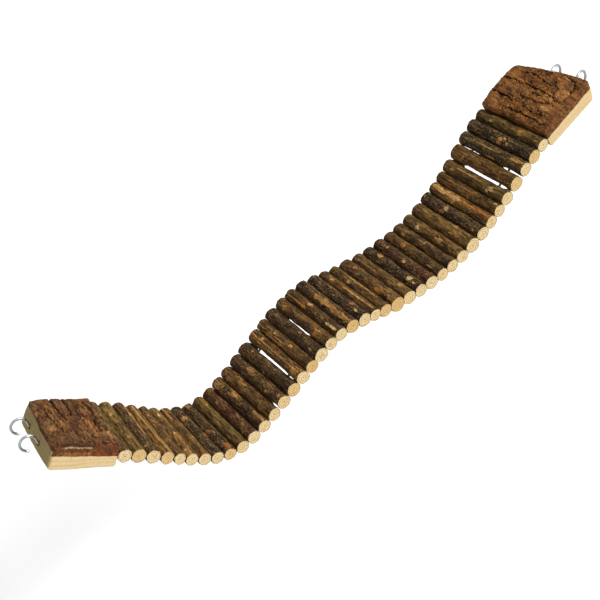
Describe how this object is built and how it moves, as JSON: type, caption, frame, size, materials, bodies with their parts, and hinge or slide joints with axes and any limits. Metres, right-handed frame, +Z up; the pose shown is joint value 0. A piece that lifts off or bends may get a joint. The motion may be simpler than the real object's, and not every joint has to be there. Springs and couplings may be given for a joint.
{
  "type": "bendable stick bridge",
  "caption": "Bendable hanging bridge for small pets: round sticks with bark strung on hidden wires between bark-topped boards with screw hooks, hung in an S curve.",
  "frame": {"origin": "where the inner side of the lower hooks' eyes rests on a cage bar, midway between the two hooks", "axes": "+X level, from the lower board towards the upper one; +Y across the bridge, along the first sticks; +Z up"},
  "size_m": [0.5217, 0.1352, 0.2036],
  "materials": {
    "slab_bark": "rough bark on top, pale sawn sides",
    "stick_bark": "bark, with pale sawn ends",
    "hook_zinc": "bright zinc",
    "wire_steel": "soft steel wire"
  },
  "bodies": {
    "lower_end": {"lower_board": "slab_bark", "lower_front_hook": "hook_zinc", "lower_back_hook": "hook_zinc", "front_wire": "wire_steel", "back_wire": "wire_steel"},
    "rung_01": {"stick_01": "stick_bark"},
    "rung_02": {"stick_02": "stick_bark"},
    "rung_03": {"stick_03": "stick_bark"},
    "rung_04": {"stick_04": "stick_bark"},
    "rung_05": {"stick_05": "stick_bark"},
    "rung_06": {"stick_06": "stick_bark"},
    "rung_07": {"stick_07": "stick_bark"},
    "rung_08": {"stick_08": "stick_bark"},
    "rung_09": {"stick_09": "stick_bark"},
    "rung_10": {"stick_10": "stick_bark"},
    "rung_11": {"stick_11": "stick_bark"},
    "rung_12": {"stick_12": "stick_bark"},
    "rung_13": {"stick_13": "stick_bark"},
    "rung_14": {"stick_14": "stick_bark"},
    "rung_15": {"stick_15": "stick_bark"},
    "rung_16": {"stick_16": "stick_bark"},
    "rung_17": {"stick_17": "stick_bark"},
    "rung_18": {"stick_18": "stick_bark"},
    "rung_19": {"stick_19": "stick_bark"},
    "rung_20": {"stick_20": "stick_bark"},
    "rung_21": {"stick_21": "stick_bark"},
    "rung_22": {"stick_22": "stick_bark"},
    "rung_23": {"stick_23": "stick_bark"},
    "rung_24": {"stick_24": "stick_bark"},
    "rung_25": {"stick_25": "stick_bark"},
    "rung_26": {"stick_26": "stick_bark"},
    "rung_27": {"stick_27": "stick_bark"},
    "rung_28": {"stick_28": "stick_bark"},
    "rung_29": {"stick_29": "stick_bark"},
    "rung_30": {"stick_30": "stick_bark"},
    "rung_31": {"stick_31": "stick_bark"},
    "rung_32": {"stick_32": "stick_bark"},
    "rung_33": {"stick_33": "stick_bark"},
    "rung_34": {"stick_34": "stick_bark"},
    "rung_35": {"stick_35": "stick_bark"},
    "rung_36": {"stick_36": "stick_bark"},
    "rung_37": {"stick_37": "stick_bark"},
    "rung_38": {"stick_38": "stick_bark"},
    "rung_39": {"stick_39": "stick_bark"},
    "rung_40": {"stick_40": "stick_bark"},
    "upper_end": {"upper_board": "slab_bark", "upper_front_hook": "hook_zinc", "upper_back_hook": "hook_zinc"}
  },
  "joints": [
    {"name": "bend_01", "type": "hinge", "parent": "lower_end", "child": "rung_01", "pos_m": [0.05847, -0.00412, -0.02003], "axis": [0.0031, -1, 0], "range_deg": [-6, 6], "deforming": ["front_wire", "back_wire"]},
    {"name": "bend_02", "type": "hinge", "parent": "rung_01", "child": "rung_02", "pos_m": [0.06884, -0.00406, -0.02365], "axis": [0.0104, -0.9999, 0], "range_deg": [-6, 6], "deforming": ["front_wire", "back_wire"]},
    {"name": "bend_03", "type": "hinge", "parent": "rung_02", "child": "rung_03", "pos_m": [0.07996, -0.0039, -0.02826], "axis": [0.0196, -0.9998, 0], "range_deg": [-6, 6], "deforming": ["front_wire", "back_wire"]},
    {"name": "bend_04", "type": "hinge", "parent": "rung_03", "child": "rung_04", "pos_m": [0.09085, -0.00363, -0.0334], "axis": [0.0301, -0.9995, 0], "range_deg": [-6, 6], "deforming": ["front_wire", "back_wire"]},
    {"name": "bend_05", "type": "hinge", "parent": "rung_04", "child": "rung_05", "pos_m": [0.10129, -0.00326, -0.03849], "axis": [0.0416, -0.9991, 0], "range_deg": [-6, 6], "deforming": ["front_wire", "back_wire"]},
    {"name": "bend_06", "type": "hinge", "parent": "rung_05", "child": "rung_06", "pos_m": [0.11041, -0.00282, -0.04291], "axis": [0.0536, -0.9986, 0], "range_deg": [-6, 6], "deforming": ["front_wire", "back_wire"]},
    {"name": "bend_07", "type": "hinge", "parent": "rung_06", "child": "rung_07", "pos_m": [0.12041, -0.00222, -0.04744], "axis": [0.0657, -0.9978, 0], "range_deg": [-6, 6], "deforming": ["front_wire", "back_wire"]},
    {"name": "bend_08", "type": "hinge", "parent": "rung_07", "child": "rung_08", "pos_m": [0.1305, -0.0015, -0.05115], "axis": [0.0775, -0.997, 0], "range_deg": [-6, 6], "deforming": ["front_wire", "back_wire"]},
    {"name": "bend_09", "type": "hinge", "parent": "rung_08", "child": "rung_09", "pos_m": [0.14123, -0.0006, -0.05334], "axis": [0.0884, -0.9961, 0], "range_deg": [-6, 6], "deforming": ["front_wire", "back_wire"]},
    {"name": "bend_10", "type": "hinge", "parent": "rung_09", "child": "rung_10", "pos_m": [0.15195, 0.0004, -0.05279], "axis": [0.0981, -0.9952, 0], "range_deg": [-6, 6], "deforming": ["front_wire", "back_wire"]},
    {"name": "bend_11", "type": "hinge", "parent": "rung_10", "child": "rung_11", "pos_m": [0.1625, 0.00149, -0.04917], "axis": [0.1063, -0.9943, 0], "range_deg": [-6, 6], "deforming": ["front_wire", "back_wire"]},
    {"name": "bend_12", "type": "hinge", "parent": "rung_11", "child": "rung_12", "pos_m": [0.172, 0.00254, -0.04333], "axis": [0.1135, -0.9935, 0], "range_deg": [-6, 6], "deforming": ["front_wire", "back_wire"]},
    {"name": "bend_13", "type": "hinge", "parent": "rung_12", "child": "rung_13", "pos_m": [0.18094, 0.0036, -0.03633], "axis": [0.12, -0.9928, 0], "range_deg": [-6, 6], "deforming": ["front_wire", "back_wire"]},
    {"name": "bend_14", "type": "hinge", "parent": "rung_13", "child": "rung_14", "pos_m": [0.18971, 0.00468, -0.02878], "axis": [0.126, -0.992, 0], "range_deg": [-6, 6], "deforming": ["front_wire", "back_wire"]},
    {"name": "bend_15", "type": "hinge", "parent": "rung_14", "child": "rung_15", "pos_m": [0.19872, 0.00585, -0.02088], "axis": [0.1315, -0.9913, 0], "range_deg": [-6, 6], "deforming": ["front_wire", "back_wire"]},
    {"name": "bend_16", "type": "hinge", "parent": "rung_15", "child": "rung_16", "pos_m": [0.20783, 0.00709, -0.01288], "axis": [0.1365, -0.9906, 0], "range_deg": [-6, 6], "deforming": ["front_wire", "back_wire"]},
    {"name": "bend_17", "type": "hinge", "parent": "rung_16", "child": "rung_17", "pos_m": [0.21648, 0.0083, -0.00533], "axis": [0.1411, -0.99, 0], "range_deg": [-6, 6], "deforming": ["front_wire", "back_wire"]},
    {"name": "bend_18", "type": "hinge", "parent": "rung_17", "child": "rung_18", "pos_m": [0.22453, 0.00947, 0.00142], "axis": [0.1453, -0.9894, 0], "range_deg": [-6, 6], "deforming": ["front_wire", "back_wire"]},
    {"name": "bend_19", "type": "hinge", "parent": "rung_18", "child": "rung_19", "pos_m": [0.23364, 0.01082, 0.00833], "axis": [0.1493, -0.9888, 0], "range_deg": [-6, 6], "deforming": ["front_wire", "back_wire"]},
    {"name": "bend_20", "type": "hinge", "parent": "rung_19", "child": "rung_20", "pos_m": [0.24262, 0.0122, 0.01393], "axis": [0.153, -0.9882, 0], "range_deg": [-6, 6], "deforming": ["front_wire", "back_wire"]},
    {"name": "bend_21", "type": "hinge", "parent": "rung_20", "child": "rung_21", "pos_m": [0.2523, 0.01371, 0.01789], "axis": [0.1563, -0.9877, 0], "range_deg": [-6, 6], "deforming": ["front_wire", "back_wire"]},
    {"name": "bend_22", "type": "hinge", "parent": "rung_21", "child": "rung_22", "pos_m": [0.26377, 0.01555, 0.02015], "axis": [0.159, -0.9873, 0], "range_deg": [-6, 6], "deforming": ["front_wire", "back_wire"]},
    {"name": "bend_23", "type": "hinge", "parent": "rung_22", "child": "rung_23", "pos_m": [0.2744, 0.01727, 0.02065], "axis": [0.1606, -0.987, 0], "range_deg": [-6, 6], "deforming": ["front_wire", "back_wire"]},
    {"name": "bend_24", "type": "hinge", "parent": "rung_23", "child": "rung_24", "pos_m": [0.284, 0.01884, 0.02067], "axis": [0.1613, -0.9869, 0], "range_deg": [-6, 6], "deforming": ["front_wire", "back_wire"]},
    {"name": "bend_25", "type": "hinge", "parent": "rung_24", "child": "rung_25", "pos_m": [0.29442, 0.02055, 0.0211], "axis": [0.1616, -0.9868, 0], "range_deg": [-6, 6], "deforming": ["front_wire", "back_wire"]},
    {"name": "bend_26", "type": "hinge", "parent": "rung_25", "child": "rung_26", "pos_m": [0.30664, 0.02255, 0.02254], "axis": [0.1618, -0.9868, 0], "range_deg": [-6, 6], "deforming": ["front_wire", "back_wire"]},
    {"name": "bend_27", "type": "hinge", "parent": "rung_26", "child": "rung_27", "pos_m": [0.3175, 0.02433, 0.02462], "axis": [0.1622, -0.9868, 0], "range_deg": [-6, 6], "deforming": ["front_wire", "back_wire"]},
    {"name": "bend_28", "type": "hinge", "parent": "rung_27", "child": "rung_28", "pos_m": [0.32804, 0.02606, 0.02722], "axis": [0.1631, -0.9866, 0], "range_deg": [-6, 6], "deforming": ["front_wire", "back_wire"]},
    {"name": "bend_29", "type": "hinge", "parent": "rung_28", "child": "rung_29", "pos_m": [0.33901, 0.02789, 0.03056], "axis": [0.1649, -0.9863, 0], "range_deg": [-6, 6], "deforming": ["front_wire", "back_wire"]},
    {"name": "bend_30", "type": "hinge", "parent": "rung_29", "child": "rung_30", "pos_m": [0.34862, 0.0295, 0.0341], "axis": [0.1679, -0.9858, 0], "range_deg": [-6, 6], "deforming": ["front_wire", "back_wire"]},
    {"name": "bend_31", "type": "hinge", "parent": "rung_30", "child": "rung_31", "pos_m": [0.35815, 0.03115, 0.03835], "axis": [0.1725, -0.985, 0], "range_deg": [-6, 6], "deforming": ["front_wire", "back_wire"]},
    {"name": "bend_32", "type": "hinge", "parent": "rung_31", "child": "rung_32", "pos_m": [0.36803, 0.0329, 0.04378], "axis": [0.179, -0.9838, 0], "range_deg": [-6, 6], "deforming": ["front_wire", "back_wire"]},
    {"name": "bend_33", "type": "hinge", "parent": "rung_32", "child": "rung_33", "pos_m": [0.37825, 0.03481, 0.05065], "axis": [0.1877, -0.9822, 0], "range_deg": [-6, 6], "deforming": ["front_wire", "back_wire"]},
    {"name": "bend_34", "type": "hinge", "parent": "rung_33", "child": "rung_34", "pos_m": [0.38723, 0.03657, 0.05782], "axis": [0.198, -0.9802, 0], "range_deg": [-6, 6], "deforming": ["front_wire", "back_wire"]},
    {"name": "bend_35", "type": "hinge", "parent": "rung_34", "child": "rung_35", "pos_m": [0.39484, 0.03815, 0.06467], "axis": [0.2094, -0.9778, 0], "range_deg": [-6, 6], "deforming": ["front_wire", "back_wire"]},
    {"name": "bend_36", "type": "hinge", "parent": "rung_35", "child": "rung_36", "pos_m": [0.40222, 0.03977, 0.07205], "axis": [0.2214, -0.9752, 0], "range_deg": [-6, 6], "deforming": ["front_wire", "back_wire"]},
    {"name": "bend_37", "type": "hinge", "parent": "rung_36", "child": "rung_37", "pos_m": [0.41052, 0.04172, 0.08095], "axis": [0.2336, -0.9723, 0], "range_deg": [-6, 6], "deforming": ["front_wire", "back_wire"]},
    {"name": "bend_38", "type": "hinge", "parent": "rung_37", "child": "rung_38", "pos_m": [0.41969, 0.04398, 0.09085], "axis": [0.2453, -0.9695, 0], "range_deg": [-6, 6], "deforming": ["front_wire", "back_wire"]},
    {"name": "bend_39", "type": "hinge", "parent": "rung_38", "child": "rung_39", "pos_m": [0.42835, 0.04622, 0.09937], "axis": [0.256, -0.9667, 0], "range_deg": [-6, 6], "deforming": ["front_wire", "back_wire"]},
    {"name": "bend_40", "type": "hinge", "parent": "rung_39", "child": "rung_40", "pos_m": [0.43722, 0.04862, 0.10649], "axis": [0.2652, -0.9642, 0], "range_deg": [-6, 6], "deforming": ["front_wire", "back_wire"]},
    {"name": "bend_41", "type": "hinge", "parent": "rung_40", "child": "upper_end", "pos_m": [0.44643, 0.0512, 0.11232], "axis": [0.2725, -0.9621, 0], "range_deg": [-6, 6], "deforming": ["front_wire", "back_wire"]}
  ]
}
